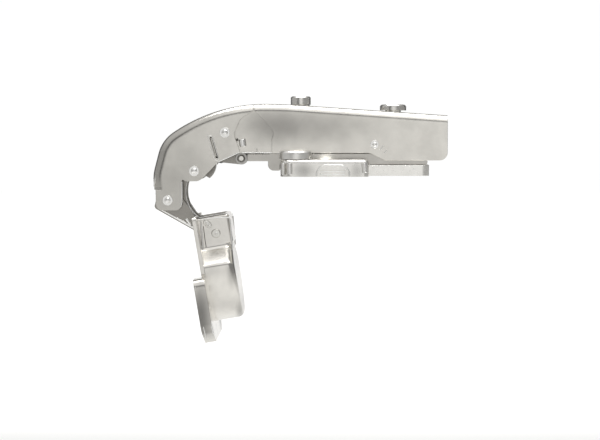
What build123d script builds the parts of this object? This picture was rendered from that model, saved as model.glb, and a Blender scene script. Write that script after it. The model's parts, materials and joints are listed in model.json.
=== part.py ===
from build123d import *
from math import atan2, cos, degrees, radians, sin
import os

# A concealed cup hinge for an in-line panel: goose-neck arm, two links, cup and plate.
# Millimetres. +X runs to the rear of the arm, +Y across it and +Z away from the panel.
# The origin is on the panel's face, midway between the plate's two screw holes.
# The hinge stands open, with its cup hanging in front of the nose.

os.makedirs("parts", exist_ok=True)

# Sheet thicknesses and general fits
arm_sheet = 1.4
nose_sheet = 1.3
link_sheet = 1.4
strap_sheet = 1.5
cup_sheet = 1.0
lap_gap = 0.1
turning_fit = 0.05
side_gap = 0.3
open_play = 0.3

# Arm, seen from the side
arm_half = 11.0
arm_rear = 39.5
arm_rear_top = 19.75
arm_slope = 3.92
crown_start = -9.0
crown_radius = 166.8
bow_radius = 53.2
bow_turn = 34.5
brow_radius = 12.0
brow_turn = 41.0
face_length = 5.0
chin_radius = 14.0
chin_turn = 26.0
skin_foot = -4.7
nose_bend_radius = 3.0
arm_bend_radius = 2.8
arm_underside = 7.4
heel_underside = 5.0
heel_start = 14.0
heel_ramp = 5.0
arm_lap_front = -37.5
joggle_x = -18.0

# Linkage pivots on the nose
outer_pivot = (-52.2, -8.1)
inner_pivot = (-43.5, 1.5)
rocker_pivot = (-33.4, 14.1)
nose_underside = -11.4
pivot_radius = 1.5
rivet_head = 0.25
rivet_dome = 0.95

# Cup: its own frame has x along the door from the cup's edge, y across and z into the door
cup_corner = (-43.8, -14.4)
cup_tilt = 9.5
cup_radius = 17.5
cup_depth = 11.1
pocket_depth = 11.75
pocket_gap = 0.9
pocket_length = 10.2
shoulder_end = 15.4
flange_sheet = 1.3
flange_half = 17.8
ear_start = 18.6
ear_half = 27.0
ear_end = 40.0
ear_lip = 2.3
ear_lip_wall = 1.3
ear_slant = 4.5
ear_hole_from_edge = 27.0
ear_hole_spacing = 45.0
ear_hole_radius = 2.1
mouth_depth = 2.0
mouth_notch_depth = 10.4
outer_pin_at = (5.7, 6.6)
inner_pin_at = (2.18, 4.38)
outer_pin_radius = 1.0
stub_gap = 0.5
head_recess = 0.15
inner_pin_radius = 0.9

# Links
washer_width = 0.8
outer_link_eye = 3.5
outer_web_nose = 4.7
outer_web_cup = 3.3
link_gap = 0.9
inner_link_eye = 3.2
strap_bow = 6.2
cheek_width = 2.4
slot_travel = 3.05
slot_side_play = 0.85
slot_rim = 0.8
foot_spare = 0.1
barrel_radius = 2.5
cam_half = 2.4
cam_high = 7.5
cam_low = 5.3
cam_high_angle = 27.0
cam_sweep = 56.0

# Spring rocker and what it drives
rocker_gap = 0.2
rocker_sheet = 1.2
rocker_eye = 3.2
foot_pivot = (-28.2, 5.6)
foot_radius = 2.1
foot_pin_radius = 0.9
roller_at = (-35.0, 5.5)
roller_radius = 1.6
roller_pin_radius = 0.7
thrust_angle = 24.9
cylinder_gap = 0.2
rod_radius = 1.0
rod_eye_half = 1.1
rod_eye_radius = 2.0
screw_gap = 0.1
cylinder_start = 12.0
cylinder_end = 29.0
rod_end = 21.0
spring_wire = 0.35
spring_inset = 0.55
spring_turns = 6
collar_at = 4.4
collar_thick = 1.0
block_start = 12.6
block_thick = 2.5
block_height = 6.6

# Base plate and rail
wing_front = -15.0
wing_rear = 13.4
wing_end = 24.0
wing_top = 5.5
base_top = 3.5
base_half = 13.4
base_rear = 33.4
wing_hole_spacing = 32.0
wing_hole_radius = 2.6
wing_sink_radius = 4.7
wing_sink_depth = 2.1
arch_centre = 1.9
arch_width = 10.4
arch_height = 3.7
arch_depth = 1.0
rail_side_gap = 0.4
rail_wall = 1.2
rail_gap = 0.1
rail_top = 7.2
rail_front = -19.3
rail_nose_foot = 1.6
rail_rear = 33.0
prong_front = -26.0
prong_bottom = 4.7
prong_width = 1.3
arm_travel = 2.8

# Adjusting screws and cam
overlay_x = -8.65
overlay_radius = 3.0
overlay_head_radius = 3.35
overlay_head_base = 23.25
overlay_top = 26.0
overlay_neck_radius = 1.6
overlay_foot_radius = 2.7
overlay_foot = 1.0
depth_x = 22.0
depth_shank_radius = 2.6
depth_shank_end = 8.0
depth_head_radius = 4.4
depth_head = 2.0
boss_radius = 4.2
boss_height = 11.0
seat_inset = 3.6
seat_drop = 0.05
depth_seat = 21.36
cam_centre = (-10.1, -18.35)
cam_head_radius = 5.2
cam_head_height = 2.7
cam_throw = 1.2
cam_disc_radius = 2.3
ear_plate_half = 3.8
ear_plate = 1.3
cam_axle_radius = 1.0
cam_axle_depth = 2.7
guide_rivet_at = (15.6, 10.2)
guide_rivet_radius = 1.15

# Values worked out from those above
lap_half = arm_half - nose_sheet - lap_gap
nose_inner = arm_half - nose_sheet
lap_inner = lap_half - arm_sheet
outer_link_half = nose_inner - washer_width
inner_link_half = outer_link_half - link_sheet - link_gap
stub_start = inner_link_half + stub_gap
pocket_inner = outer_link_half + pocket_gap
pocket_half = pocket_inner + cup_sheet
cylinder_radius = (lap_inner - cylinder_gap - overlay_radius - screw_gap) / 2
spring_radius = cylinder_radius - spring_inset
rod_offset = lap_inner - cylinder_radius - cylinder_gap
rocker_half = rod_offset - rod_eye_half - rocker_gap
rail_half = arm_half - arm_sheet - rail_side_gap
seat_half = arm_half - seat_inset
side = Plane.XZ
tilt = radians(cup_tilt)
into_door = Vector(cos(tilt), 0, sin(tilt))
along_door = Vector(sin(tilt), 0, -cos(tilt))
cup_plane = Plane(
    origin=(cup_corner[0], 0, cup_corner[1]), x_dir=along_door, z_dir=into_door
)
into_axis = Axis(cup_plane.origin, cup_plane.z_dir)
cam_slot_x = cam_centre[0] + 0.8


def on_side(from_edge, depth):
    """The side view's x and z of a point in the cup's own frame."""
    x = cup_corner[0] + from_edge * along_door.X + depth * into_door.X
    z = cup_corner[1] + from_edge * along_door.Z + depth * into_door.Z
    return (x, z)


def polar(centre, radius, angle):
    """A point at a radius and an angle in degrees from a centre."""
    return (centre[0] + radius * cos(radians(angle)), centre[1] + radius * sin(radians(angle)))


outer_pin = on_side(*outer_pin_at)
inner_pin = on_side(*inner_pin_at)


def skin_blank(inset):
    """The arm and nose from the side, run on far below; inset moves the skin inwards."""
    slope = radians(arm_slope)
    crown_top = arm_rear_top + (arm_rear - crown_start) * sin(slope) / cos(slope)
    floor = -40.0
    with BuildSketch(side) as blank:
        with BuildLine():
            back = Line((arm_rear, arm_rear_top), (crown_start, crown_top))
            crown = JernArc(back @ 1, back % 1, crown_radius, arm_slope)
            bow = JernArc(crown @ 1, crown % 1, bow_radius, bow_turn)
            brow = JernArc(bow @ 1, bow % 1, brow_radius, brow_turn)
            face = Line(brow @ 1, brow @ 1 + (brow % 1) * face_length)
            chin = JernArc(face @ 1, face % 1, chin_radius, chin_turn)
            Polyline(chin @ 1, ((chin @ 1).X, floor), (arm_rear + 20, floor),
                     (arm_rear + 20, arm_rear_top), (arm_rear, arm_rear_top))
        make_face()
        if inset:
            offset(amount=-inset)
    return blank.sketch_local


skin_core = skin_blank(0.5).face()


def on_skin(edge):
    """True for an edge that runs along the outside of the folded skin."""
    middle = edge @ 0.5
    flat = abs(abs(middle.Y) - arm_half) < 0.01 and abs((edge @ 0).Y - (edge @ 1).Y) < 0.01
    return flat and not skin_core.is_inside(Vector(middle.X, middle.Z, 0), 0.01)


def outline(points, radii):
    """A closed outline with a rounding for each corner, as a face of its own."""
    with BuildSketch(side) as shape:
        with BuildLine():
            FilletPolyline(*points, radius=radii, close=True)
        make_face()
    return shape.sketch_local


def cross_pin(name, centre, radius, half, dome=True):
    """A rivet across the hinge, with a small dome on each end."""
    with BuildPart() as pin:
        with BuildSketch(side):
            with Locations(centre):
                Circle(radius)
        extrude(amount=half, both=True)
        chamfer(pin.edges().filter_by(GeomType.CIRCLE), 0.12)
        if dome:
            for facing in (1, -1):
                with BuildSketch(side.offset(facing * half)):
                    with Locations(centre):
                        Circle(rivet_dome)
                extrude(amount=facing * rivet_head, taper=25)
    save(pin.part, name)
    return pin.part


def rings(name, centre, inner, outer, start, end):
    """Two equal washers or sleeves, one on each side of the mid-plane."""
    with BuildPart() as pair:
        for facing in (1, -1):
            with BuildSketch(side.offset(facing * start)):
                with Locations(centre):
                    Circle(outer)
                    Circle(inner, mode=Mode.SUBTRACT)
            extrude(amount=facing * (end - start))
    save(pair.part, name)


def save(part, name):
    """Names a finished piece and writes it."""
    part.label = name
    export_step(part, f"parts/{name}.step")


# Arm channel: folded sheet, its front end joggled inwards to lie under the nose
far = 60.0
rear_zone = [
    (-23.9, far), (-23.9, 21.4), (-20.9, 18.5), (joggle_x + 0.8, 14.4), (joggle_x, 12.0),
    (joggle_x, arm_underside), (heel_start, arm_underside),
    (heel_start + heel_ramp, heel_underside), (arm_rear, heel_underside), (arm_rear, far),
]
rear_round = [0, 2.0, 2.0, 2.5, 1.5, 0, 3.0, 3.0, 2.6, 0]
lap_zone = [
    (joggle_x + 3, far), (arm_lap_front, far), (arm_lap_front, 10.5), (-29.6, arm_underside),
    (joggle_x + 3, arm_underside),
]
with BuildPart() as arm_channel:
    with BuildSketch(side):
        add(skin_blank(0))
        add(outline(rear_zone, rear_round), mode=Mode.INTERSECT)
    extrude(amount=arm_half, both=True)
    fillet(arm_channel.edges().filter_by(on_skin), arm_bend_radius)
    with BuildSketch(side):
        add(skin_blank(nose_sheet + lap_gap))
        add(outline(lap_zone, [0, 0, 3.0, 4.0, 0]), mode=Mode.INTERSECT)
    extrude(amount=lap_half, both=True)
    with BuildSketch(side):
        add(skin_blank(arm_sheet))
        add(outline([(x + arm_sheet, z - (far if z < 10 else 0)) for x, z in rear_zone],
                    [0, 2.0, 2.0, 2.5, 0, 0, 0, 0, 0, 0]), mode=Mode.INTERSECT)
    extrude(amount=arm_half - arm_sheet, both=True, mode=Mode.SUBTRACT)
    with BuildSketch(side):
        add(skin_blank(nose_sheet + lap_gap + arm_sheet))
        with Locations((-35, 0)):
            Rectangle(40, 2 * far, mode=Mode.INTERSECT)
    extrude(amount=lap_inner, both=True, mode=Mode.SUBTRACT)
    with BuildSketch(side):
        with Locations(rocker_pivot):
            Circle(pivot_radius)
        with Locations(guide_rivet_at):
            Circle(guide_rivet_radius)
    extrude(amount=arm_half + 1, both=True, mode=Mode.SUBTRACT)
    with BuildSketch(Plane.XY.offset(overlay_top)):
        with Locations((overlay_x, 0)):
            Circle(overlay_radius + turning_fit)
        with Locations((depth_x, 0)):
            SlotCenterToCenter(2 * arm_travel, 2 * (depth_shank_radius + side_gap))
    extrude(amount=-9, mode=Mode.SUBTRACT)
    with BuildSketch(Plane.XY.offset(depth_seat - seat_drop)):
        with Locations((depth_x, 0)):
            Rectangle(2 * (depth_head_radius + arm_travel + 0.3), 2 * seat_half)
    extrude(amount=5, mode=Mode.SUBTRACT)
save(arm_channel.part, "arm_channel")

# Nose shell: a second folded sheet over the arm's front, riveted through the rocker pivot
nose_zone = [
    (-24.0, far), (-60, far), (-60, skin_foot), (-47.5, skin_foot), (-47.5, -0.3), (-46.6, -1.85),
    (-41.8, -1.85), (-38.3, 1.65), (-35.8, 4.4), (-28.4, 7.8), (-30.5, 13.6), (-28.3, 18.6),
    (-24.0, 21.3),
]
nose_round = [0, 0, 0, 0, 0.4, 0.6, 3.2, 2.0, 2.0, 0.5, 4.0, 4.0, 1.0]
slit_middle = (-36.9, 9.2)
slit_length = 7.4
slit_width = 0.9
slit_angle = -73.0
cheek_zone = [
    (-56.1, skin_foot), (-56.1, nose_underside), (-47.5, nose_underside), (-47.5, skin_foot + 2),
    (-53.0, skin_foot + 2), (-53.0, skin_foot),
]
with BuildPart() as nose_shell:
    with BuildSketch(side):
        add(skin_blank(0))
        add(outline(nose_zone, nose_round), mode=Mode.INTERSECT)
    extrude(amount=arm_half, both=True)
    fillet(nose_shell.edges().filter_by(on_skin), nose_bend_radius)
    with BuildSketch(side):
        add(outline(cheek_zone, [0, 2.2, 2.2, 0, 0, 0]))
    extrude(amount=arm_half, both=True)
    with BuildSketch(side):
        add(skin_blank(nose_sheet))
    extrude(amount=nose_inner, both=True, mode=Mode.SUBTRACT)
    with BuildSketch(side):
        with Locations((-56, skin_foot - 6)):
            Rectangle(8, 12)
    extrude(amount=nose_inner, both=True, mode=Mode.SUBTRACT)
    with BuildSketch(side):
        with Locations(outer_pivot, inner_pivot, rocker_pivot):
            Circle(pivot_radius)
        with Locations(slit_middle):
            SlotOverall(slit_length, slit_width, rotation=slit_angle)
    extrude(amount=arm_half + 1, both=True, mode=Mode.SUBTRACT)
save(nose_shell.part, "nose_shell")

# Rivets and spacers that the nose carries
rivet_half = arm_half + 0.15
cross_pin("outer_link_pin", outer_pivot, pivot_radius, rivet_half)
cross_pin("inner_link_pin", inner_pivot, pivot_radius, rivet_half)
cross_pin("rocker_pin", rocker_pivot, pivot_radius, rivet_half)
rings("outer_link_washers", outer_pivot, pivot_radius, 2.7, outer_link_half + 0.05, nose_inner)
rings("inner_link_sleeves", inner_pivot, pivot_radius, 2.5, inner_link_half + 0.05, nose_inner)
rings("rocker_sleeves", rocker_pivot, pivot_radius, 2.5, rocker_half + 0.05, lap_inner)
with BuildPart() as guide_rivets:
    for facing in (1, -1):
        with BuildSketch(side.offset(facing * (arm_half - arm_sheet - 1.2))):
            with Locations(guide_rivet_at):
                Circle(guide_rivet_radius)
        extrude(amount=facing * (arm_sheet + 1.3))
    chamfer(guide_rivets.edges().filter_by(GeomType.CIRCLE), 0.15)
save(guide_rivets.part, "guide_rivets")

# Outer link: a folded U whose web lies on the side away from the inner link
outer_length = (Vector(*outer_pin) - Vector(*outer_pivot)).length
outer_angle = degrees(atan2(outer_pin[1] - outer_pivot[1], outer_pin[0] - outer_pivot[0]))
outer_link_plane = Plane(
    origin=(outer_pivot[0], 0, outer_pivot[1]),
    x_dir=(cos(radians(outer_angle)), 0, sin(radians(outer_angle))), z_dir=(0, -1, 0),
)
web_end = outer_length - 5.5
eye_end = outer_length + 2.3
outer_side = [
    (-2.4, -outer_web_nose), (web_end, -outer_web_cup),
    (eye_end, -2.6), (eye_end, 2.2), (outer_length - 1.9, 2.2),
    (outer_length - 2.9, -0.35), (12.5, -0.35), (6.5, 2.1), (2.5, outer_link_eye),
    (-outer_link_eye, outer_link_eye), (-outer_link_eye, -1.5),
]
outer_round = [1.2, 2.0, 2.3, 2.1, 1.0, 0.4, 2.0, 4.0, 3.0, 3.4, 2.0]
with BuildPart() as outer_link:
    with BuildSketch(outer_link_plane):
        add(outline(outer_side, outer_round))
    extrude(amount=outer_link_half, both=True)
    with BuildSketch(outer_link_plane):
        with BuildLine():
            Polyline((-10, -outer_web_nose + link_sheet), (-2.4, -outer_web_nose + link_sheet),
                     (web_end, -outer_web_cup + link_sheet),
                     (web_end, -20), (outer_length + 10, -20),
                     (outer_length + 10, 10), (-10, 10), close=True)
        make_face()
    extrude(amount=outer_link_half - link_sheet, both=True, mode=Mode.SUBTRACT)
    with BuildSketch(outer_link_plane):
        Circle(pivot_radius + turning_fit)
        with Locations((outer_length, 0)):
            Circle(outer_pin_radius + turning_fit)
    extrude(amount=outer_link_half + 1, both=True, mode=Mode.SUBTRACT)
save(outer_link.part, "outer_link")

# Inner link: a bowed strap with side cheeks, a cam at the nose and a slot at the cup
link_run = Vector(*inner_pin) - Vector(*inner_pivot)
toward_cup = link_run.normalized()
slot_half = inner_pin_radius + slot_side_play + open_play
slot_far = Vector(*inner_pin) - toward_cup * slot_travel
slot_middle = (Vector(*inner_pin) + slot_far) * 0.5
slot_angle = degrees(atan2(toward_cup.Y, toward_cup.X))
bow_side = Vector(toward_cup.Y, -toward_cup.X)
strap_top = Vector(*inner_pivot) + bow_side * 2.3 - toward_cup * 0.5
strap_middle = Vector(*inner_pivot) + link_run * 0.52 + bow_side * strap_bow
strap_foot = Vector(*inner_pin) - toward_cup * 1.1 + bow_side * 2.9


def strap(width):
    """The bowed strap from the side, at a given width."""
    with BuildSketch(side) as band:
        with BuildLine():
            Spline(strap_top, strap_middle, strap_foot,
                   tangents=[toward_cup + bow_side * 0.9, toward_cup - bow_side * 0.9])
        trace(line_width=width)
    return band.sketch_local


def slot_eye():
    """The cheek's lower end: an open cradle under the cup's pin, joined to the strap."""
    with BuildSketch(side) as eye:
        with Locations(inner_pin):
            Circle(slot_half + slot_rim)
        with Locations(strap_foot):
            Circle(cheek_width / 2 + foot_spare)
        make_hull()
    return eye.sketch_local


def cam_point(share):
    """A point of the cam's working edge, from its high end to its low end."""
    radius = cam_high + (cam_low - cam_high) * share
    return polar(inner_pivot, radius, cam_high_angle - cam_sweep * share)


with BuildPart() as inner_link:
    with BuildSketch(side):
        add(strap(cheek_width))
        add(slot_eye())
        with Locations(inner_pivot):
            Circle(inner_link_eye)
    extrude(amount=inner_link_half, both=True)
    with BuildSketch(side):
        with Locations(inner_pivot):
            Rectangle(far, 2 * far)
    extrude(amount=inner_link_half - link_sheet, both=True, mode=Mode.SUBTRACT)
    with BuildSketch(side):
        add(strap(strap_sheet))
        with Locations(inner_pivot):
            Circle(barrel_radius)
    extrude(amount=inner_link_half - link_sheet / 2, both=True)
    with BuildSketch(side):
        with BuildLine():
            cam_edge = ThreePointArc(cam_point(0), cam_point(0.5), cam_point(1))
            Polyline(cam_edge @ 1, inner_pivot, cam_edge @ 0)
        make_face()
    extrude(amount=cam_half, both=True)
    with BuildSketch(side):
        with Locations(inner_pivot):
            Circle(pivot_radius + turning_fit)
        with Locations(slot_middle):
            SlotCenterToCenter(slot_travel, 2 * slot_half, rotation=slot_angle)
    extrude(amount=inner_link_half + 1, both=True, mode=Mode.SUBTRACT)
save(inner_link.part, "inner_link")

# Cup: a drawn pot with a narrow pocket for the links and a flange with two screw ears
pocket_edge = -0.2
pocket_middle = pocket_edge + pocket_length / 2


def cup_plan(spare):
    """The pot from above, drawn in from its outside by a given amount."""
    shoulder = 17.4
    with BuildSketch() as plan:
        with BuildLine():
            ThreePointArc((shoulder_end, shoulder), (cup_radius * 2, 0), (shoulder_end, -shoulder))
            Polyline((shoulder_end, -shoulder), (pocket_length, -pocket_half),
                     (pocket_edge, -pocket_half), (pocket_edge, pocket_half),
                     (pocket_length, pocket_half), (shoulder_end, shoulder))
        make_face()
        fillet(plan.vertices().filter_by(lambda v: v.X > 5), 1.8)
        fillet(plan.vertices().filter_by(lambda v: v.X < 5), 1.2)
        if spare:
            offset(amount=-spare)
    return plan.sketch_local


def ear_plan(spare):
    """The flange's lower plate with both ears, from above."""
    corners = [
        (ear_start, -ear_half), (ear_start, ear_half), (ear_end - ear_slant, ear_half),
        (ear_end, ear_half - 8.5), (ear_end, 8.5 - ear_half), (ear_end - ear_slant, -ear_half),
    ]
    with BuildSketch() as plan:
        with BuildLine():
            FilletPolyline(*corners, radius=[3.0, 3.0, 3.5, 2.5, 2.5, 3.5], close=True)
        make_face()
        if spare:
            offset(amount=-spare)
    return plan.sketch_local


with BuildPart() as cup_hollow:
    with BuildSketch(cup_plane.offset(-1)):
        add(cup_plan(cup_sheet))
    extrude(amount=cup_depth - cup_sheet + 1)
    fillet(cup_hollow.faces().sort_by(into_axis)[-1].edges(), 1.2)
    with BuildSketch(cup_plane):
        with Locations((pocket_middle, 0)):
            RectangleRounded(pocket_length - 2 * cup_sheet, 2 * pocket_inner, 0.8)
    extrude(amount=pocket_depth - cup_sheet)
with BuildPart() as cup:
    with BuildSketch(cup_plane):
        add(cup_plan(0))
    extrude(amount=cup_depth)
    fillet(cup.faces().sort_by(into_axis)[-1].edges(), 2.2)
    with BuildSketch(cup_plane):
        with Locations((pocket_middle, 0)):
            RectangleRounded(pocket_length, 2 * pocket_half, 1.2)
    extrude(amount=pocket_depth)
    fillet(cup.faces().sort_by(into_axis)[-1].edges(), 1.1)
    with BuildSketch(cup_plane):
        with Locations((ear_start / 2 - 0.2, 0)):
            RectangleRounded(ear_start + 1.6, 2 * flange_half, 1.5)
        add(ear_plan(0))
    extrude(amount=flange_sheet)
    with BuildSketch(cup_plane.offset(flange_sheet)):
        with Locations((pocket_middle - 1, 0)):
            Rectangle(pocket_length + 2, 2 * (pocket_half + 1))
            RectangleRounded(pocket_length, 2 * pocket_half, 1.2, mode=Mode.SUBTRACT)
    extrude(amount=-head_recess, mode=Mode.SUBTRACT)
    with BuildSketch(cup_plane):
        add(ear_plan(0))
        add(ear_plan(ear_lip_wall), mode=Mode.SUBTRACT)
        with Locations((ear_start, 0)):
            Rectangle(6, 2 * flange_half, mode=Mode.SUBTRACT)
    extrude(amount=-ear_lip)
    add(cup_hollow.part, mode=Mode.SUBTRACT)
    with BuildSketch(cup_plane.offset(mouth_depth)):
        with Locations((-1, 0)):
            Rectangle(6, 2 * pocket_inner)
    extrude(amount=-mouth_depth - 1, mode=Mode.SUBTRACT)
    with BuildSketch(cup_plane.offset(mouth_notch_depth)):
        with Locations((-1, 0)):
            Rectangle(6, 2 * (inner_link_half + side_gap))
    extrude(amount=-mouth_notch_depth - 1, mode=Mode.SUBTRACT)
    with BuildSketch(cup_plane.offset(flange_sheet)):
        with Locations((ear_hole_from_edge, ear_hole_spacing / 2),
                       (ear_hole_from_edge, -ear_hole_spacing / 2)):
            Circle(ear_hole_radius)
    extrude(amount=-flange_sheet - 1, mode=Mode.SUBTRACT)
    with BuildSketch(side):
        with Locations(outer_pin):
            Circle(outer_pin_radius)
        with Locations(inner_pin):
            Circle(inner_pin_radius)
    extrude(amount=pocket_half + 1, both=True, mode=Mode.SUBTRACT)
save(cup.part, "cup")

# Pins and spacers that the cup carries
with BuildPart() as cup_outer_pins:
    for facing in (1, -1):
        with BuildSketch(side.offset(facing * stub_start)):
            with Locations(outer_pin):
                Circle(outer_pin_radius)
        extrude(amount=facing * (pocket_half + 0.1 - stub_start))
        with BuildSketch(side.offset(facing * pocket_half)):
            with Locations(outer_pin):
                Circle(1.5)
        extrude(amount=facing * 0.5, taper=20)
save(cup_outer_pins.part, "cup_outer_pins")
with BuildPart() as cup_inner_pin:
    with BuildSketch(side):
        with Locations(inner_pin):
            Circle(inner_pin_radius)
    extrude(amount=pocket_half + 0.1, both=True)
    for facing in (1, -1):
        with BuildSketch(side.offset(facing * pocket_half)):
            with Locations(inner_pin):
                SlotOverall(3.2, 1.9, rotation=-45)
        extrude(amount=facing * 0.4, taper=15)
save(cup_inner_pin.part, "cup_inner_pin")
rings("cup_outer_washers", outer_pin, outer_pin_radius, 2.0, outer_link_half + 0.05, pocket_inner)
rings("cup_inner_washers", inner_pin, inner_pin_radius, 1.25, outer_link_half + 0.1, pocket_inner)

# Spring rocker: a U-shaped lever on the rocker pin, with a roller on the cam
thrust = Vector(cos(radians(thrust_angle)), sin(radians(thrust_angle)))
foot = Vector(*foot_pivot)


def on_thrust(distance):
    """The side view's x and z of a point along the rods' line from the foot pivot."""
    point = foot + thrust * distance
    return (point.X, point.Y)


with BuildPart() as spring_rocker:
    with BuildSketch(side):
        with Locations(rocker_pivot):
            Circle(rocker_eye)
        with Locations(foot_pivot):
            Circle(foot_radius)
        with Locations(roller_at):
            Circle(roller_radius - 0.3)
        make_hull()
    extrude(amount=rocker_half, both=True)
    with BuildSketch(side):
        add(outline([(-45, 3), (-45, 30), (-26, 30), (-26, 13.4), (-31.0, 10.0), (-31.0, 3)],
                    [0, 0, 0, 0, 1.0, 0]))
    extrude(amount=rocker_half - rocker_sheet, both=True, mode=Mode.SUBTRACT)
    with BuildSketch(side):
        with Locations(rocker_pivot):
            Circle(pivot_radius + turning_fit)
        with Locations(foot_pivot):
            Circle(foot_pin_radius)
        with Locations(roller_at):
            Circle(roller_pin_radius)
    extrude(amount=rocker_half + 1, both=True, mode=Mode.SUBTRACT)
save(spring_rocker.part, "spring_rocker")

with BuildPart() as roller:
    with BuildSketch(side):
        with Locations(roller_at):
            Circle(roller_radius)
            Circle(roller_pin_radius + turning_fit, mode=Mode.SUBTRACT)
    extrude(amount=rocker_half - rocker_sheet - 0.1, both=True)
save(roller.part, "rocker_roller")
cross_pin("roller_pin", roller_at, roller_pin_radius, rocker_half, dome=False)
cross_pin("foot_pin", foot_pivot, foot_pin_radius, rod_offset + rod_eye_half, dome=False)


def thrust_plane(across):
    """A plane square to the rods' line at the foot pivot, its middle set across the hinge."""
    return Plane(origin=(foot.X, across, foot.Y), x_dir=(0, 1, 0), z_dir=(thrust.X, 0, thrust.Y))


def rod(name, across, length):
    """A rod that the foot pin pushes, with an eye at its end and a collar."""
    with BuildPart() as piece:
        with BuildSketch(thrust_plane(across)):
            Circle(rod_radius)
        extrude(amount=length)
        with BuildSketch(side.offset(-across)):
            with Locations(foot_pivot):
                Circle(rod_eye_radius)
        extrude(amount=rod_eye_half, both=True)
        with BuildSketch(thrust_plane(across).offset(collar_at - collar_thick)):
            Circle(cylinder_radius - 0.2)
        extrude(amount=collar_thick)
        with BuildSketch(side.offset(-across)):
            with Locations(foot_pivot):
                Circle(foot_pin_radius + 0.4)
        extrude(amount=rod_eye_half + 1, both=True, mode=Mode.SUBTRACT)
    save(piece.part, name)


rod("damper_rod", rod_offset, rod_end)
rod("spring_guide", -rod_offset, rod_end)

# Damper cylinder and spring anchor, both fixed in the arm
with BuildPart() as damper_cylinder:
    with BuildSketch(thrust_plane(rod_offset).offset(cylinder_start)):
        Circle(cylinder_radius)
    extrude(amount=cylinder_end - cylinder_start)
    chamfer(damper_cylinder.edges().filter_by(GeomType.CIRCLE), 0.4)
    with BuildSketch(thrust_plane(rod_offset).offset(cylinder_start)):
        Circle(rod_radius + turning_fit)
    extrude(amount=rod_end - cylinder_start + 1, mode=Mode.SUBTRACT)
save(damper_cylinder.part, "damper_cylinder")
with BuildPart() as spring_block:
    with BuildSketch(thrust_plane(0).offset(block_start)):
        Rectangle(2 * lap_inner, block_height)
        with Locations((rod_offset, 0)):
            Circle(cylinder_radius, mode=Mode.SUBTRACT)
        with Locations((-rod_offset, 0)):
            Circle(rod_radius + turning_fit, mode=Mode.SUBTRACT)
    extrude(amount=block_thick)
save(spring_block.part, "spring_block")
spring_length = block_start - collar_at - 2 * spring_wire - 0.1
with BuildPart() as closing_spring:
    coil_plane = thrust_plane(-rod_offset).offset(collar_at + spring_wire + 0.05)
    with BuildLine() as coil:
        Helix(pitch=spring_length / spring_turns, height=spring_length, radius=spring_radius,
              center=coil_plane.origin, direction=coil_plane.z_dir)
    with BuildSketch(Plane(coil.line @ 0, z_dir=coil.line % 0)):
        Circle(spring_wire)
    sweep(path=coil.line)
save(closing_spring.part, "closing_spring")

# Base plate: cast wings with countersunk holes, screwed to the panel
with BuildPart() as base_plate:
    with BuildSketch():
        with Locations(((rail_front + 4.5 + base_rear) / 2, 0)):
            RectangleRounded(base_rear - rail_front - 4.5, 2 * base_half, 2.5)
    extrude(amount=base_top)
    with BuildSketch():
        with BuildLine():
            FilletPolyline((wing_front, -wing_end), (wing_rear, -wing_end), (wing_rear, wing_end),
                           (wing_front, wing_end), radius=[3.6, 1.8, 1.8, 3.6], close=True)
        make_face()
    extrude(amount=wing_top)
    fillet(base_plate.faces().sort_by(Axis.Z)[-1].outer_wire().edges(), 1.3)
    with BuildSketch(Plane.XY.offset(base_top)):
        Rectangle(200, 2 * base_half)
    extrude(amount=10, mode=Mode.SUBTRACT)
    wing_holes = GridLocations(1, wing_hole_spacing, 1, 2)
    with BuildSketch():
        with wing_holes:
            Circle(wing_hole_radius)
    extrude(amount=10, mode=Mode.SUBTRACT)
    with BuildSketch(Plane.XY.offset(wing_top)):
        with wing_holes:
            Circle(wing_sink_radius)
    extrude(amount=-wing_sink_depth, taper=45, mode=Mode.SUBTRACT)
    with BuildSketch(Plane.XY.offset(base_top)):
        with Locations((cam_slot_x, cam_centre[1] / 2)):
            Rectangle(2 * (ear_plate_half + side_gap), -cam_centre[1] + 2 * (cam_disc_radius + 2.5))
    extrude(amount=10, mode=Mode.SUBTRACT)
    with BuildSketch(Plane.XY.offset(base_top)):
        with Locations(cam_centre):
            Circle(cam_axle_radius + turning_fit)
    extrude(amount=-cam_axle_depth, mode=Mode.SUBTRACT)
    for facing in (1, -1):
        with BuildSketch(side.offset(facing * wing_end)):
            with BuildLine():
                FilletPolyline((arch_centre - arch_width / 2, -1), (arch_centre + arch_width / 2, -1),
                               (arch_centre + arch_width / 2, arch_height),
                               (arch_centre - arch_width / 2, arch_height),
                               radius=[0, 0, 2.6, 2.6], close=True)
            make_face()
        extrude(amount=-facing * arch_depth, mode=Mode.SUBTRACT)
save(base_plate.part, "base_plate")

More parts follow.
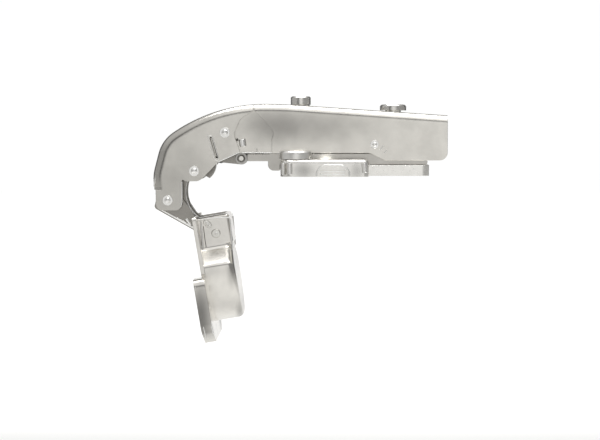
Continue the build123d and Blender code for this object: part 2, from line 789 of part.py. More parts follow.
# Rail: an inverted channel on the plate that carries the arm and its fixing screw
with BuildPart() as slide_rail:
    with BuildSketch(side):
        add(outline([(rail_front, rail_nose_foot), (rail_front + 3.9, rail_nose_foot),
                     (rail_front + 3.9, base_top + rail_gap), (rail_rear, base_top + rail_gap),
                     (rail_rear, rail_top), (rail_front, rail_top)],
                    [1.9, 0.3, 0.0, 0.8, 0.8, 0.8]))
    extrude(amount=rail_half, both=True)
    with BuildSketch(side):
        with Locations(((rail_front + 3.9 + rail_rear + 9) / 2, (rail_top - rail_wall) / 2)):
            Rectangle(rail_rear + 9 - rail_front - 3.9, rail_top - rail_wall)
    extrude(amount=rail_half - rail_wall, both=True, mode=Mode.SUBTRACT)
    with BuildSketch(Plane.XY.offset(rail_top)):
        with Locations((depth_x, 0)):
            Circle(boss_radius)
    extrude(amount=boss_height)
    with BuildSketch(Plane.XY.offset(rail_top - rail_wall)):
        with Locations((depth_x, 0)):
            Circle(boss_radius)
    extrude(amount=rail_wall)
    with BuildSketch(Plane.XY.offset(prong_bottom)):
        for facing in (1, -1):
            with Locations(((prong_front + rail_front + 1) / 2, facing * (rail_half - prong_width / 2))):
                Rectangle(rail_front + 1 - prong_front, prong_width)
    extrude(amount=rail_top - 0.2 - prong_bottom)
    ear_reach = -cam_centre[1] + cam_disc_radius + side_gap + 0.9 - rail_half + 1
    with BuildSketch(Plane.XY.offset(base_top + rail_gap)):
        with Locations((cam_slot_x, 1 - rail_half - ear_reach / 2)):
            Rectangle(2 * ear_plate_half, ear_reach)
        with Locations((cam_centre[0] + 0.75 * cam_throw, cam_centre[1])):
            SlotCenterToCenter(0.6 * cam_throw, 2 * (cam_disc_radius + side_gap), mode=Mode.SUBTRACT)
    extrude(amount=ear_plate)
    with BuildSketch(Plane.XY.offset(30)):
        with Locations((depth_x, 0)):
            Circle(depth_shank_radius + turning_fit)
        with Locations((overlay_x, 0)):
            SlotCenterToCenter(2 * arm_travel, 2 * (overlay_neck_radius + side_gap))
    extrude(amount=-40, mode=Mode.SUBTRACT)
save(slide_rail.part, "slide_rail")

# Adjusting screws
with BuildPart() as overlay_screw:
    with BuildSketch(Plane.XY.offset(10.5)):
        with Locations((overlay_x, 0)):
            Circle(overlay_radius)
    extrude(amount=overlay_top - 10.5)
    with BuildSketch(Plane.XY.offset(overlay_head_base)):
        with Locations((overlay_x, 0)):
            Circle(overlay_head_radius)
    extrude(amount=overlay_top - overlay_head_base)
    chamfer(overlay_screw.edges().filter_by(GeomType.CIRCLE).sort_by(Axis.Z)[-1], 0.4)
    with BuildSketch(Plane.XY.offset(4.7)):
        with Locations((overlay_x, 0)):
            Circle(overlay_foot_radius)
    extrude(amount=overlay_foot)
    with BuildSketch(Plane.XY.offset(4.7 + overlay_foot)):
        with Locations((overlay_x, 0)):
            Circle(overlay_neck_radius)
    extrude(amount=10.5 - 4.7 - overlay_foot)
    with BuildSketch(Plane.XY.offset(overlay_top)):
        with Locations((overlay_x, 0)):
            Rectangle(3.6, 1.0)
            Rectangle(1.0, 3.6)
    extrude(amount=-1.8, mode=Mode.SUBTRACT)
save(overlay_screw.part, "overlay_screw")
with BuildPart() as depth_screw:
    with BuildSketch(Plane.XY.offset(depth_seat)):
        with Locations((depth_x, 0)):
            Circle(depth_head_radius)
    extrude(amount=depth_head)
    fillet(depth_screw.faces().sort_by(Axis.Z)[-1].edges(), 0.9)
    with BuildSketch(Plane.XY.offset(depth_shank_end)):
        with Locations((depth_x, 0)):
            Circle(depth_shank_radius)
    extrude(amount=depth_seat - depth_shank_end)
    with BuildSketch(Plane.XY.offset(depth_seat + depth_head)):
        with Locations((depth_x, 0)):
            Rectangle(5.0, 1.1)
            Rectangle(1.1, 5.0)
    extrude(amount=-1.7, mode=Mode.SUBTRACT)
save(depth_screw.part, "depth_screw")

# Height cam on the near wing: its eccentric moves the rail across the plate
cam_seat = Plane.XY.offset(wing_top + 0.05)
with BuildPart() as height_cam:
    with BuildSketch(cam_seat):
        with Locations(cam_centre):
            Circle(cam_head_radius)
    extrude(amount=cam_head_height)
    fillet(height_cam.faces().sort_by(Axis.Z)[-1].edges(), 1.0)
    with BuildSketch(cam_seat.offset(cam_head_height)):
        with Locations(cam_centre):
            Rectangle(5.6, 1.2)
            Rectangle(1.2, 5.6)
    extrude(amount=-1.6, mode=Mode.SUBTRACT)
    with BuildSketch(Plane.XY.offset(base_top + 0.05)):
        with Locations((cam_centre[0] + cam_throw, cam_centre[1])):
            Circle(cam_disc_radius)
    extrude(amount=wing_top - base_top)
    with BuildSketch(Plane.XY.offset(base_top + 0.05)):
        with Locations(cam_centre):
            Circle(cam_axle_radius)
    extrude(amount=-cam_axle_depth)
save(height_cam.part, "height_cam")
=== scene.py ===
# %% [markdown]
# # A concealed cup hinge
#
# A furniture hinge made of folded steel sheet, shown fully open. Its solids come
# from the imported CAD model, so this lesson is about metal and light: how to make
# plated steel look like plated steel on a white table.
#
# Blender works in metres. Sizes here are written in millimetres, as on a drawing,
# and multiplied by MM where Blender needs them.

# %% Load the frame
import bpy
import json
import math
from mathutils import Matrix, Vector


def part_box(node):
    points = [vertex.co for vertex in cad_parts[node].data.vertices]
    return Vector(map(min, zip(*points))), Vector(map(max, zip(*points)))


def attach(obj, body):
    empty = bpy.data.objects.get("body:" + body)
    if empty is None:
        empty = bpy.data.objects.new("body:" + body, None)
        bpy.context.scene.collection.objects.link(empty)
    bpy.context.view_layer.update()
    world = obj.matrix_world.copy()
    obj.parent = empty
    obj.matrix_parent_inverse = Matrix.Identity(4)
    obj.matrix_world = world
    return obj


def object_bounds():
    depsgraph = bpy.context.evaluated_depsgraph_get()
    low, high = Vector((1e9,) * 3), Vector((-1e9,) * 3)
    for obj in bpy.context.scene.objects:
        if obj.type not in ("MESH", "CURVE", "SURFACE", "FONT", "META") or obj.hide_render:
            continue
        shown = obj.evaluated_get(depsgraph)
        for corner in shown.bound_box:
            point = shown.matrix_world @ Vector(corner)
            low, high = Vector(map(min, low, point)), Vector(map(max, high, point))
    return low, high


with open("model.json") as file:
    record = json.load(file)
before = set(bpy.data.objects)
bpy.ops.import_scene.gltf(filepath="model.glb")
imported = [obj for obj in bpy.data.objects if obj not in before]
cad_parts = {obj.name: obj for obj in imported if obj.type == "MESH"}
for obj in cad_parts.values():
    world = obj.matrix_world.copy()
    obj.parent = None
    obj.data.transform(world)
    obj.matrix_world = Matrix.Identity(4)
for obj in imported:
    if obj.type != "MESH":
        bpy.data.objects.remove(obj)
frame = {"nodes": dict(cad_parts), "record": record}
cad_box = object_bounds()
nodes = frame["nodes"]
MM = 0.001
print("nodes", len(nodes))

# %% [markdown]
# ## Two small helpers
#
# Colours are written as the hex values that a paint program shows, and a shader
# wants them linear, so one function turns them. A material is a tree of nodes. It
# could be built by hand in the shader editor, but in a script one function that adds
# a node with its settings and links keeps every tree short.


# %% Colour
def linear(code):
    """The linear colour of a hex value such as "C8C6C0"."""
    parts = [int(code[i:i + 2], 16) / 255 for i in (0, 2, 4)]
    return [p / 12.92 if p <= 0.04045 else ((p + 0.055) / 1.055) ** 2.4 for p in parts] + [1.0]


# %% Nodes
def add_node(tree, kind, settings=None, **inputs):
    """Adds a node with its settings, and sets or links its inputs.

    To_Min=0.5 is for the input To Min, and _0=0.5 is for the first input.
    """
    made = tree.nodes.new(kind)
    for name, value in (settings or {}).items():
        setattr(made, name, value)
    for name, value in inputs.items():
        by_number = name[1:].isdigit()
        socket = made.inputs[int(name[1:]) if by_number else name.replace("_", " ")]
        if isinstance(value, bpy.types.NodeSocket):
            tree.links.new(value, socket)
        else:
            socket.default_value = value
    return made


smooth = {"interpolation_type": "SMOOTHSTEP"}

# %% [markdown]
# ## Painted patches of reflection and shade
#
# A pressed wall isn't one even grey. It carries wide soft patches, where it bends a
# little and meets another part of the room. The room alone gives too few of them on
# walls as flat as these. One way would be to dent the walls, but their shape belongs
# to the CAD model. So each patch is a painted reflection or painted shade, multiplied
# into the metal's colour at a place that is fixed on the part. It stays there from every side.


# %% A painted patch
def painted_reflection_patch(tree, place, middle, reach, depth):
    """A painted patch of reflection or shade: depth at its middle, and 1 from its reach outwards.
    """
    shifted = add_node(tree, "ShaderNodeVectorMath", {"operation": "SUBTRACT"}, _0=place,
                       _1=[length * MM for length in middle])
    scaled = add_node(tree, "ShaderNodeVectorMath", {"operation": "MULTIPLY"},
                      _0=shifted.outputs[0], _1=[1 / (length * MM) for length in reach])
    away = add_node(tree, "ShaderNodeVectorMath", {"operation": "LENGTH"}, _0=scaled.outputs[0])
    return add_node(tree, "ShaderNodeMapRange", smooth, Value=away.outputs["Value"],
                    To_Min=depth, To_Max=1.0).outputs[0]


# %% [markdown]
# ## Nickel-plated steel
#
# The sheet is cold-rolled steel with a thin bright nickel layer. The layer follows
# the sheet's own grain, so a reflection is soft and a little uneven. A painted grey
# would look dead, and a perfect mirror would look like glass. So the shader is a full
# metal of low roughness, with a fine mottle in the roughness, a slow change of tone,
# and a faint ripple from the press. Cut edges are never sharp: a Bevel node rounds
# the light on them.

# %% Sizes of the grain
grain = 1.2           # real grain is under 0.1 mm, drawn coarser so that it shows
ripple_length = 6.0   # mm from one low wave of the sheet to the next
ripple_height = 0.2   # mm
edge_round = 0.26     # mm, the rounding that the light sees on an edge
mottle = 0.05         # how far the roughness strays each way
tone_change = 0.16    # how far the colour's strength strays each way


# %% Plated metal
def plated(name, colour, roughness, ripple=0.15, painted_patches=()):
    """A plated metal: a mottled roughness, a slow tone, painted patches of reflection and shade,
    and a fine ripple.
    """
    material = bpy.data.materials.new(name)
    material.use_nodes = True
    tree = material.node_tree
    shader = tree.nodes["Principled BSDF"]
    shader.inputs["Metallic"].default_value = 1.0
    place = add_node(tree, "ShaderNodeTexCoord").outputs["Object"]
    cloud = add_node(tree, "ShaderNodeTexNoise", Vector=place, Scale=1 / (grain * MM), Detail=3.0)
    spread = add_node(tree, "ShaderNodeMapRange", Value=cloud.outputs["Fac"],
                      To_Min=roughness - mottle, To_Max=roughness + mottle)
    tree.links.new(spread.outputs[0], shader.inputs["Roughness"])
    wave = add_node(tree, "ShaderNodeTexNoise", Vector=place,
                    Scale=1 / (ripple_length * MM), Detail=2.0)
    shade = add_node(tree, "ShaderNodeMapRange", Value=wave.outputs["Fac"],
                     To_Min=1 - tone_change, To_Max=1 + tone_change).outputs[0]
    # Painted reflections and painted shade: each patch darkens or brightens the colour.
    for middle, reach, depth in painted_patches:
        painted_patch = painted_reflection_patch(tree, place, middle, reach, depth)
        shade = add_node(tree, "ShaderNodeMath", {"operation": "MULTIPLY"},
                         _0=shade, _1=painted_patch).outputs[0]
    tint = add_node(tree, "ShaderNodeVectorMath", {"operation": "SCALE"},
                    _0=linear(colour)[:3], Scale=shade)
    tree.links.new(tint.outputs[0], shader.inputs["Base Color"])
    worn_edge = add_node(tree, "ShaderNodeBevel", {"samples": 6}, Radius=edge_round * MM)
    bump = add_node(tree, "ShaderNodeBump", Strength=ripple, Distance=ripple_height * MM,
                    Height=wave.outputs["Fac"], Normal=worn_edge.outputs[0])
    tree.links.new(bump.outputs[0], shader.inputs["Normal"])
    return material


# %% Places of the painted patches
# Each painted patch of reflection or shade is (middle, reach, depth), with lengths in
# millimetres. A reach of 60 goes right across the hinge, and a depth over 1 brightens.
arm_painted_reflections = [
    ((-52, 0, -2), (34, 60, 34), 0.68),    # the nose's lower half
    ((-17, 0, 17), (16, 60, 10), 0.72),    # behind the nose
    ((-8, 0, 16), (38, 60, 9), 0.64),      # along the arm's middle
]
cup_painted_shade = [
    ((-40.6, -27.5, -43.5), (6, 5, 15), 0.3),    # the near ear's end
    ((-40.6, 27.5, -43.5), (6, 5, 15), 0.3),     # the far ear's end
    ((-39.0, -27, -50), (9, 12, 7), 0.6),        # the near ear's lower corner
    ((-39.0, 27, -50), (9, 12, 7), 0.6),         # the far ear's lower corner
    ((-36.5, 18, -50.5), (5, 14, 7), 0.4),       # the far ear behind the pot
    ((-31.0, 0, -30), (2.2, 60, 9), 0.55),       # the pot's bottom, upper part
    ((-28.4, 0, -45), (2.2, 60, 9), 0.5),        # the pot's bottom, lower part
]
wing_painted_reflections = [
    ((-7.5, -24, 2), (5.5, 5, 4), 0.62),    # before the near recess
    ((9.6, -24, 2), (3, 5, 4), 0.72),       # behind the near recess
    ((-7.5, 24, 2), (5.5, 5, 4), 0.62),     # before the far recess
    ((9.6, 24, 2), (3, 5, 4), 0.72),        # behind the far recess
    ((24, 0, 2), (14, 60, 6), 1.14),        # the plate's rear
]
print("patches", len(arm_painted_reflections + cup_painted_shade + wing_painted_reflections))

# %% [markdown]
# ## One finish for each kind of piece
#
# Everything came out of a plating bath, but not with the same skin. Broad pressed
# sheet is the softest mirror, a turned screw the sharpest, and cast zinc is whiter
# and duller. Each kind gets its own tone and roughness, so that the eye can tell the
# pieces apart where grey lies on grey.

# %% Finishes
finishes = {
    # Sheet as it leaves the press: a soft mirror with a warm grey cast.
    "plated_sheet": plated("nickel-plated pressed steel", "DAD7D0", 0.24),
    # The arm's broad walls, a little brighter, with wide painted patches of reflection and shade.
    "arm_sheet": plated("nickel-plated arm sheet", "E0DDD6", 0.24, painted_patches=arm_painted_reflections),
    # Sheet drawn into a cup: the brightest wall, with painted shade where it turns under.
    "cup_sheet": plated("nickel-plated drawn sheet", "E6E3DD", 0.24, painted_patches=cup_painted_shade),
    # The rail lies low under the arm: its greyer tone is painted shade.
    "rail_sheet_painted_shade": plated("nickel-plated rail sheet, painted shade", "C4C1BB", 0.25),
    # The links are thick strap; their tone, clearly darker than the arm that they leave, is
    # painted shade.
    "link_sheet_painted_shade": plated("nickel-plated link sheet, painted shade", "9A9791", 0.26),
    # Cast zinc has a whiter, softer skin than rolled steel, with painted shade by the recesses
    # and a painted highlight at the plate's rear.
    "plated_casting": plated("nickel-plated zinc casting", "EEECE7", 0.26, painted_patches=wing_painted_reflections),
    # The cam is nearly white and dull, so its slots read as dark lines.
    "cam_metal": plated("nickel-plated cam", "F2F0EC", 0.34),
    # A turned screw: the sharpest reflections on the hinge.
    "plated_screw": plated("nickel-plated screw", "DEDCD7", 0.2),
    # A rivet is burnished by its punch: bright and a little soft.
    "rivet_steel": plated("bright rivet steel", "E2E0DA", 0.22),
    # Drawn rod: mid grey with a broad sheen.
    "rod_steel": plated("drawn rod steel", "B4B2AE", 0.3),
    # Oiled spring wire: dark and dull.
    "spring_wire": plated("spring steel wire", "8C8A86", 0.35),
    # Painted shadow: where two sheets meet, a dark bead stands for the shade in the joint.
    "shadow_edge": plated("painted shadow edge", "77746F", 0.3, ripple=0.0),
    # A cut edge: the round bead catches light, and its near-white colour adds a painted
    # highlight, a thin bright line.
    "bright_edge": plated("bright plated edge with painted highlight", "F8F7F4", 0.3, ripple=0.0),
    # A deep-drawn tube with a satin skin.
    "damper_shell": plated("drawn damper shell", "A8A6A2", 0.32),
}
print("finishes", len(finishes))

# %% [markdown]
# ## Dark acetal
#
# The sleeves and the roller inside the arm are moulded acetal, a plain grey plastic
# with a soft sheen. It hardly shows, so the shader's own sockets are enough.

# %% Acetal
acetal = bpy.data.materials.new("moulded grey acetal")
acetal.use_nodes = True
acetal_shader = acetal.node_tree.nodes["Principled BSDF"]
acetal_shader.inputs["Base Color"].default_value = linear("4A4A4C")
acetal_shader.inputs["Roughness"].default_value = 0.45
finishes["grey_polymer"] = acetal

# %% [markdown]
# ## Finishes onto the solids
#
# The record names a material slot for each node. Some nodes share a slot but look
# different on the real hinge, and those are given a finish of their own.

# %% Give the finishes
slots = {entry["node"]: entry["material_slot"] for entry in frame["record"]["subparts"]}
own_finish = {
    "arm_channel": "arm_sheet",
    "nose_shell": "arm_sheet",
    "cup": "cup_sheet",
    "outer_link": "link_sheet_painted_shade",
    "inner_link": "link_sheet_painted_shade",
    "spring_rocker": "link_sheet_painted_shade",
    "slide_rail": "rail_sheet_painted_shade",
    "height_cam": "cam_metal",
}
for name, node in nodes.items():
    node.data.materials.clear()
    node.data.materials.append(finishes[own_finish.get(name, slots[name])])
print("finishes given to", len(nodes), "nodes")

# %% [markdown]
# ## Small pressed and riveted detail
#
# The CAD solids carry the folds and the holes. What a press leaves behind is finer:
# the set heads of the rivets, the rolled lip of a slit, a lanced tick, and the rounded
# edge of a cut, whose bright line is partly a painted highlight. It could be a bump in
# the material, but then it would be gone from the mesh. So each is a small piece of its
# own, which sits on the sheet and rides with it.

# %% A finished piece
smooth_below = math.radians(50)
pieces = []


def done(piece, name, body, finish):
    """Applies a piece's place, smooths it and says what carries it."""
    bpy.ops.object.mode_set(mode="OBJECT")
    bpy.ops.object.select_all(action="DESELECT")
    piece.select_set(True)
    bpy.context.view_layer.objects.active = piece
    bpy.ops.object.transform_apply(location=True, rotation=True, scale=True)
    bpy.ops.object.mode_set(mode="EDIT")
    bpy.ops.mesh.select_all(action="SELECT")
    bpy.ops.mesh.normals_make_consistent(inside=False)
    bpy.ops.object.mode_set(mode="OBJECT")
    bpy.ops.object.shade_smooth_by_angle(angle=smooth_below)
    piece.name = name
    piece.data.name = name
    piece.data.materials.clear()
    piece.data.materials.append(finishes[finish])
    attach(piece, body)
    pieces.append(piece)


# %% Walls that the detail sits on
sides = (("near", -1), ("far", 1))


def reach_across(node):
    """How far a CAD node goes from the middle of the hinge, in millimetres."""
    return round(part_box(node)[1].y / MM, 2)


arm_side = reach_across("arm_channel")
link_side = reach_across("outer_link")
ear_end = reach_across("cup")
wing_end = reach_across("base_plate")
pocket_side = 10.8
print("walls at", arm_side, link_side, pocket_side, ear_end, wing_end)


# %% [markdown]
# ## Rivet heads
#
# A rivet is set by a punch, which spreads its end into a flat head with a low dome in
# the middle. It could be turned as one profile with spin. At this size two forms say
# the same: a thin disc, sunk a little into the wall, and a flattened sphere for the
# dome, joined into one piece. The places are the middles of the CAD pins.

# %% Rivet heads
head_height = 0.24
head_sunk = 0.06
dome_flatness = 0.55


def rivet_head(name, pin, side, radius, dome):
    """A punched rivet head over one end of a CAD pin."""
    turn = (math.radians(90 * -side), 0, 0)
    low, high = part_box(pin)
    middle = (low + high) / 2
    middle.y = side * (arm_side + head_height / 2) * MM
    bpy.ops.object.select_all(action="DESELECT")
    disc_place = middle - Vector((0, side * head_sunk, 0)) * MM
    bpy.ops.mesh.primitive_cylinder_add(vertices=40, radius=radius * MM, depth=head_height * MM,
                                        location=disc_place, rotation=turn)
    head = bpy.context.object
    bpy.ops.object.select_all(action="DESELECT")
    bpy.ops.mesh.primitive_uv_sphere_add(segments=32, ring_count=16, radius=dome * MM,
                                         location=middle, rotation=turn)
    bpy.context.object.scale.z = dome_flatness
    head.select_set(True)
    bpy.context.view_layer.objects.active = head
    bpy.ops.object.join()
    # The head gets the near-white edge finish: its colour is partly a painted highlight.
    done(head, name, "arm", "bright_edge")


# %% Set the rivets
nose_pins = ("outer_link_pin", "inner_link_pin", "rocker_pin")
for label, side in sides:
    for number, pin in enumerate(nose_pins, start=1):
        rivet_head(f"nose_rivet_head_{number}_{label}", pin, side, radius=1.65, dome=0.95)
    rivet_head(f"guide_rivet_head_{label}", "guide_rivets", side, radius=1.35, dome=0.7)
print("rivet heads", len(pieces))

# %% [markdown]
# ## Beads for cut and folded edges
#
# A cut or folded edge of sheet is a thin line of light, or of shade where two sheets
# meet. A chamfer on the solid would be too fine to catch it, so the edge is drawn
# with a round bead: a curve along the edge with a small bevel, made into a mesh and
# half sunk in the wall. A bright bead's near-white colour adds a painted highlight,
# and a dark bead is painted shadow. The two sides of the hinge get the same bead.


# %% A bead
def bead(name, body, points, radius, finish, close):
    """A round bead along points in millimetres."""
    path = bpy.data.curves.new(name, "CURVE")
    path.dimensions = "3D"
    path.bevel_depth = radius * MM
    path.bevel_resolution = 2
    path.use_fill_caps = True
    line = path.splines.new("POLY")
    line.points.add(len(points) - 1)
    for spot, point in zip(line.points, points):
        spot.co = (*(length * MM for length in point), 1)
    line.use_cyclic_u = close
    piece = bpy.data.objects.new(name, path)
    bpy.context.scene.collection.objects.link(piece)
    bpy.ops.object.select_all(action="DESELECT")
    piece.select_set(True)
    bpy.context.view_layer.objects.active = piece
    bpy.ops.object.convert(target="MESH")
    done(bpy.context.object, name, body, finish)


def both_sides(name, body, line, wall, sunk, radius, finish="bright_edge", close=False):
    """A bead on each side of the hinge, through points (x, z), sunk into a wall."""
    for label, side in sides:
        points = [(x, side * (wall - sunk), z) for x, z in line]
        bead(f"{name}_{label}", body, points, radius, finish, close)


# %% [markdown]
# ## Slit, lobe and ticks of the arm
#
# Behind the nose a slit is lanced in the wall, with a rolled lip round a short
# tongue. Further back a pressed lobe shows under the seam of the two sheets, and two
# short ticks lie by the guide rivet.

# %% Lanced lines
slit = [(-38.9, 12.9), (-38.1, 13.2), (-37.5, 12.7), (-35.5, 5.9), (-35.6, 5.2), (-36.3, 5.0),
        (-36.8, 5.5)]
both_sides("slit_lip", "arm", slit, arm_side, -0.02, 0.16, close=True)
both_sides("slit_tongue", "arm", [(-37.9, 12.4), (-36.2, 6.3)], arm_side, 0.3, 0.36,
           finish="arm_sheet")
both_sides("seam_lobe", "arm", [(-27.8, 11.9), (-27.4, 9.6)], arm_side, 0.9, 1.1)
# A small dark bead by the seam: painted shadow.
both_sides("seam_pit_painted_shadow", "arm", [(-29.6, 12.1), (-29.4, 11.3)], arm_side, 0.25, 0.4,
           finish="shadow_edge")
both_sides("lanced_tick_upper", "arm", [(17.5, 8.5), (18.6, 9.9)], arm_side, 0, 0.14)
both_sides("lanced_tick_lower", "arm", [(18.8, 7.5), (19.6, 8.5)], arm_side, 0, 0.12)
both_sides("lap_notch", "arm", [(-23.0, 8.8), (-23.0, 7.5)], arm_side, 0.65, 0.14)
print("pieces so far", len(pieces))

# %% [markdown]
# ## Edges of the arm and the outer link
#
# The nose is folded from flat sheet, so its front, heel and underside end in cut
# edges. The outer link is a folded U, and its lower edge and fold catch the light.

# %% Sheet edges
both_sides("link_lower_edge", "outer_link", [(-54.6, -11.1), (-43.2, -17.6)],
           link_side, 0.2, 0.38)
both_sides("link_fold", "outer_link", [(-46.2, -14.2), (-44.6, -16.4)], link_side, 0.2, 0.5)
both_sides("face_edge", "arm", [(-54.1, 8.2), (-55.2, 4.0), (-56.1, 0.0), (-56.7, -3.6)],
           arm_side, 1.15, 0.22)
both_sides("nose_heel_edge", "arm", [(-47.5, -2.0), (-47.5, -8.6), (-47.9, -10.2)],
           arm_side, 0.05, 0.2)
both_sides("nose_under_edge", "arm", [(-35.7, 4.5), (-28.6, 7.7)], arm_side, 0.15, 0.2)
both_sides("arm_under_edge", "arm", [(-27.9, 7.55), (-14.9, 7.45)], arm_side, 0.7, 0.2)
print("pieces so far", len(pieces))

# %% [markdown]
# ## Cup edges and pins
#
# The drawn cup has a rolled rim round the pocket, a pressed step across it, and pin
# heads that are peened over. Its ears end in two edges each. Beads along the rim, the
# step and the ears draw those edges, and short thick ones are the peened heads. The
# dark beads in the crease and under the step are painted shadow.

# %% Pocket
both_sides("pocket_rim_front", "cup", [(-41.3, -14.9), (-40.9, -21.1), (-40.3, -28.3)],
           pocket_side, -0.05, 0.3)
both_sides("pocket_rim_rear", "cup", [(-31.8, -14.2), (-31.2, -21.1), (-30.9, -24.0)],
           pocket_side, -0.05, 0.26)
both_sides("pocket_rim_top", "cup", [(-41.2, -14.4), (-36.6, -13.8), (-31.8, -13.7)],
           pocket_side, -0.05, 0.26)
# Dark beads in the crease and under the step: painted shadow.
both_sides("pocket_crease_painted_shadow", "cup", [(-40.5, -16.6), (-39.9, -21.5), (-39.5, -23.8)],
           pocket_side, 0.08, 0.16, finish="shadow_edge")
both_sides("step_shadow", "cup", [(-39.6, -24.0), (-36.0, -24.3), (-31.6, -23.4)],
           pocket_side, 0.05, 0.22, finish="shadow_edge")

# %% Pin heads and ears
both_sides("peened_slot_pin", "cup", [(-39.7, -15.3), (-38.6, -16.4)], pocket_side, 0, 0.55,
           finish="cam_metal")
both_sides("peened_round_pin", "cup", [(-36.6, -18.8), (-36.1, -19.1)], pocket_side, 0.25, 0.95,
           finish="cam_metal")
both_sides("ear_edge_front", "cup", [(-42.2, -35.2), (-40.4, -44.6), (-38.7, -51.6)],
           ear_end, 0.22, 0.2)
both_sides("ear_edge_rear", "cup", [(-39.3, -35.2), (-37.9, -44.6), (-36.4, -50.2)],
           ear_end, 0.22, 0.2)
print("pieces so far", len(pieces))

# %% [markdown]
# ## Wing of the plate
#
# The wing is cast with two upright ribs at its front, one at its rear, and an arched
# recess with a stepped floor. They are low and rounded, as a casting's corners are,
# so a bead half sunk in the wing's end gives each its form.

# %% Wing ribs
both_sides("wing_rib_front", "base", [(-14.1, 4.4), (-14.1, 0.7)], wing_end, 0, 0.55,
           finish="cam_metal")
both_sides("wing_rib_second", "base", [(-12.0, 4.4), (-12.0, 1.0)], wing_end, 0, 0.9,
           finish="cam_metal")
both_sides("wing_rib_rear", "base", [(11.9, 4.5), (12.2, 1.4)], wing_end, 0.1, 0.95,
           finish="cam_metal")

# %% Recess
arch = [(-3.4, 0.25), (-3.3, 1.6), (-2.3, 3.2), (-0.6, 3.8), (4.4, 3.8), (6.1, 3.2), (7.1, 1.6),
        (7.2, 0.25)]
both_sides("recess_lip", "base", arch, wing_end, 0, 0.22)
both_sides("recess_step_upper", "base", [(-2.2, 1.75), (6.0, 1.75)], wing_end, 0.9, 0.2)
both_sides("recess_step_lower", "base", [(-2.2, 0.8), (6.0, 0.8)], wing_end, 0.9, 0.2)
print("pieces in all", len(pieces))

# %% [markdown]
# ## Camera
#
# A catalogue picture is taken with a long lens from nearly square on, so that edges
# which are parallel on the hinge stay parallel in the picture. A short lens close up
# would make the near ear of the cup much too large.

# %% Camera
azimuth, elevation = math.radians(0.6), math.radians(3.0)
target = Vector((-8.9, 0.0, -15.1)) * MM
lens_length = 117.0
camera_distance = 650
back = Vector((math.sin(azimuth) * math.cos(elevation),
               -math.cos(azimuth) * math.cos(elevation),
               math.sin(elevation)))
lens = bpy.data.cameras.new("long lens")
lens.lens = lens_length
camera = bpy.data.objects.new("camera", lens)
bpy.context.scene.collection.objects.link(camera)
camera.location = target + back * (camera_distance * MM)
camera.rotation_mode = "QUATERNION"
camera.rotation_quaternion = (-back).to_track_quat("-Z", "Y")
bpy.context.scene.camera = camera
print("camera at", [round(length / MM) for length in camera.location])

# %% [markdown]
# ## White table
#
# Bright metal shows its surroundings, so the table is half of the picture. A lit
# sheet of paper would do, but its light falls off towards the back, and the picture
# needs an even white. So the table glows a little, more towards the back. At both
# sides the glow fades, and the metal gets something darker to show.

# %% Table
table_size = 6        # metres
table_drop = 70.0     # millimetres from the lowest solid to the table
bpy.ops.object.select_all(action="DESELECT")
bpy.ops.mesh.primitive_plane_add(size=table_size, location=(0, 0, cad_box[0].z - table_drop * MM))
floor = bpy.context.object
floor.name = "floor"

# %% Paper
# Matt white paper: it spreads the light and shows no reflection of the hinge.
paper = bpy.data.materials.new("white table")
paper.use_nodes = True
tree = paper.node_tree
shader = tree.nodes["Principled BSDF"]
shader.inputs["Base Color"].default_value = linear("BEBEBC")
shader.inputs["Roughness"].default_value = 0.9
shader.inputs["Emission Color"].default_value = linear("FFFFFF")
floor.data.materials.append(paper)

# %% Glow of the paper
# Places on the table in metres. The aisle without fading widens by 0.17 m a metre.
place = add_node(tree, "ShaderNodeTexCoord").outputs["Object"]
across = add_node(tree, "ShaderNodeSeparateXYZ", Vector=place)
glow = add_node(tree, "ShaderNodeMapRange", smooth, Value=across.outputs["Y"],
                From_Min=0.2, From_Max=0.3, To_Min=0.38, To_Max=0.75)
wide = add_node(tree, "ShaderNodeMath", {"operation": "ABSOLUTE"}, _0=across.outputs["X"])
deep = add_node(tree, "ShaderNodeMath", {"operation": "ABSOLUTE"}, _0=across.outputs["Y"])
past_aisle = add_node(tree, "ShaderNodeMath", {"operation": "MULTIPLY_ADD"},
                      _0=deep.outputs[0], _1=-0.17, _2=wide.outputs[0])
aisle = add_node(tree, "ShaderNodeMapRange", smooth, Value=past_aisle.outputs[0],
                 From_Min=0.16, From_Max=0.34, To_Min=1.0, To_Max=0.4)
strength = add_node(tree, "ShaderNodeMath", {"operation": "MULTIPLY"},
                    _0=glow.outputs[0], _1=aisle.outputs[0])
tree.links.new(strength.outputs[0], shader.inputs["Emission Strength"])

# %% [markdown]
# ## One softbox
#
# Several lamps would each leave a spot on the metal. One wide soft lamp overhead is
# enough, because the room gives the rest of the light. The Standard view keeps the
# white of the table white.

# %% Softbox
softbox_place = Vector((20, 40, 420)) * MM
softbox_size = (420, 200)
softbox_watts = 1.6
light = bpy.data.lights.new("top softbox", "AREA")
light.shape = "RECTANGLE"
light.size, light.size_y = (length * MM for length in softbox_size)
light.energy = softbox_watts
softbox = bpy.data.objects.new("top softbox", light)
bpy.context.scene.collection.objects.link(softbox)
softbox.location = softbox_place
softbox.rotation_mode = "QUATERNION"
softbox.rotation_quaternion = (-softbox_place).to_track_quat("-Z", "Y")
bpy.context.scene.view_settings.view_transform = "Standard"

# %% [markdown]
# ## The room in the metal
#
# What a mirror-like metal shows is the room, so the room is drawn in the world
# shader. Panels round the hinge could do the same, but they throw shadows and get in
# the way when the hinge is looked at from another side. The room is a pale ceiling
# and two greyer walls. A dark ring lies on the near side, and it is what the rounded
# edges of the sheet catch: it gives them their dark outlines. A second dark gap lies
# on the far side, and the backdrop behind it is plain white.

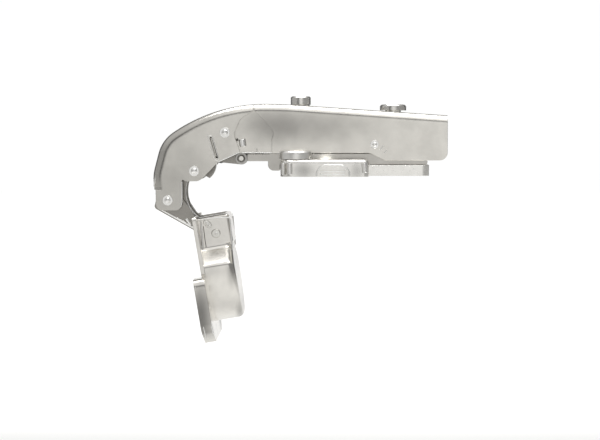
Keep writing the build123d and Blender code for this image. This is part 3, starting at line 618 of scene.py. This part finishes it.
# %% Bands of the room
# Each band is a smooth step along one direction: axis, from, to, before, after.
bands = {
    "ceiling": ("Z", 0.25, 0.7, 0.92, 1.35),
    "left wall": ("X", -0.35, -0.05, 0.5, 1.0),
    "right wall": ("X", 0.2, 0.6, 1.0, 0.35),
    "near gap starts": ("Y", -0.955, -0.9, 0.0, 1.0),
    "near gap ends": ("Y", -0.84, -0.7, 1.0, 0.0),
    "upward": ("Z", 0.05, 0.2, 0.0, 1.0),
    "leftward": ("X", -0.3, -0.15, 1.0, 0.0),
    "far gap starts": ("Y", 0.35, 0.55, 0.0, 1.0),
    "far gap ends": ("Y", 0.9, 0.95, 1.0, 0.0),
    "backdrop": ("Y", 0.93, 0.972, 0.0, 1.0),
}
world = bpy.data.worlds.new("white room")
bpy.context.scene.world = world
world.use_nodes = True
tree = world.node_tree
way = add_node(tree, "ShaderNodeTexCoord").outputs["Generated"]
parts = add_node(tree, "ShaderNodeSeparateXYZ", Vector=way)
level = {}
for name, (axis, low, high, before, after) in bands.items():
    band = add_node(tree, "ShaderNodeMapRange", smooth, Value=parts.outputs[axis],
                    From_Min=low, From_Max=high, To_Min=before, To_Max=after)
    level[name] = band.outputs[0]
print("bands", len(level))

# %% Dark gaps
gap_parts = [
    ("near ring", "MULTIPLY", "near gap starts", "near gap ends"),
    ("near part", "MAXIMUM", "upward", "leftward"),
    ("near gap", "MULTIPLY", "near ring", "near part"),
    ("far gap", "MULTIPLY", "far gap starts", "far gap ends"),
]
for name, operation, one, two in gap_parts:
    joined = add_node(tree, "ShaderNodeMath", {"operation": operation},
                      _0=level[one], _1=level[two])
    level[name] = joined.outputs[0]
for name, darkest in (("near gap", 0.22), ("far gap", 0.3)):
    shade = add_node(tree, "ShaderNodeMapRange", smooth, Value=level[name],
                     To_Min=1.0, To_Max=darkest)
    level[name + " shade"] = shade.outputs[0]

# %% Put the room together
backdrop_white = 1.01
room = level["ceiling"]
for name in ("left wall", "right wall", "near gap shade", "far gap shade"):
    room = add_node(tree, "ShaderNodeMath", {"operation": "MULTIPLY"},
                    _0=room, _1=level[name]).outputs[0]
shown = add_node(tree, "ShaderNodeMix", {"data_type": "FLOAT"},
                 _0=level["backdrop"], _2=room, _3=backdrop_white)
tree.links.new(shown.outputs[0], tree.nodes["Background"].inputs["Color"])
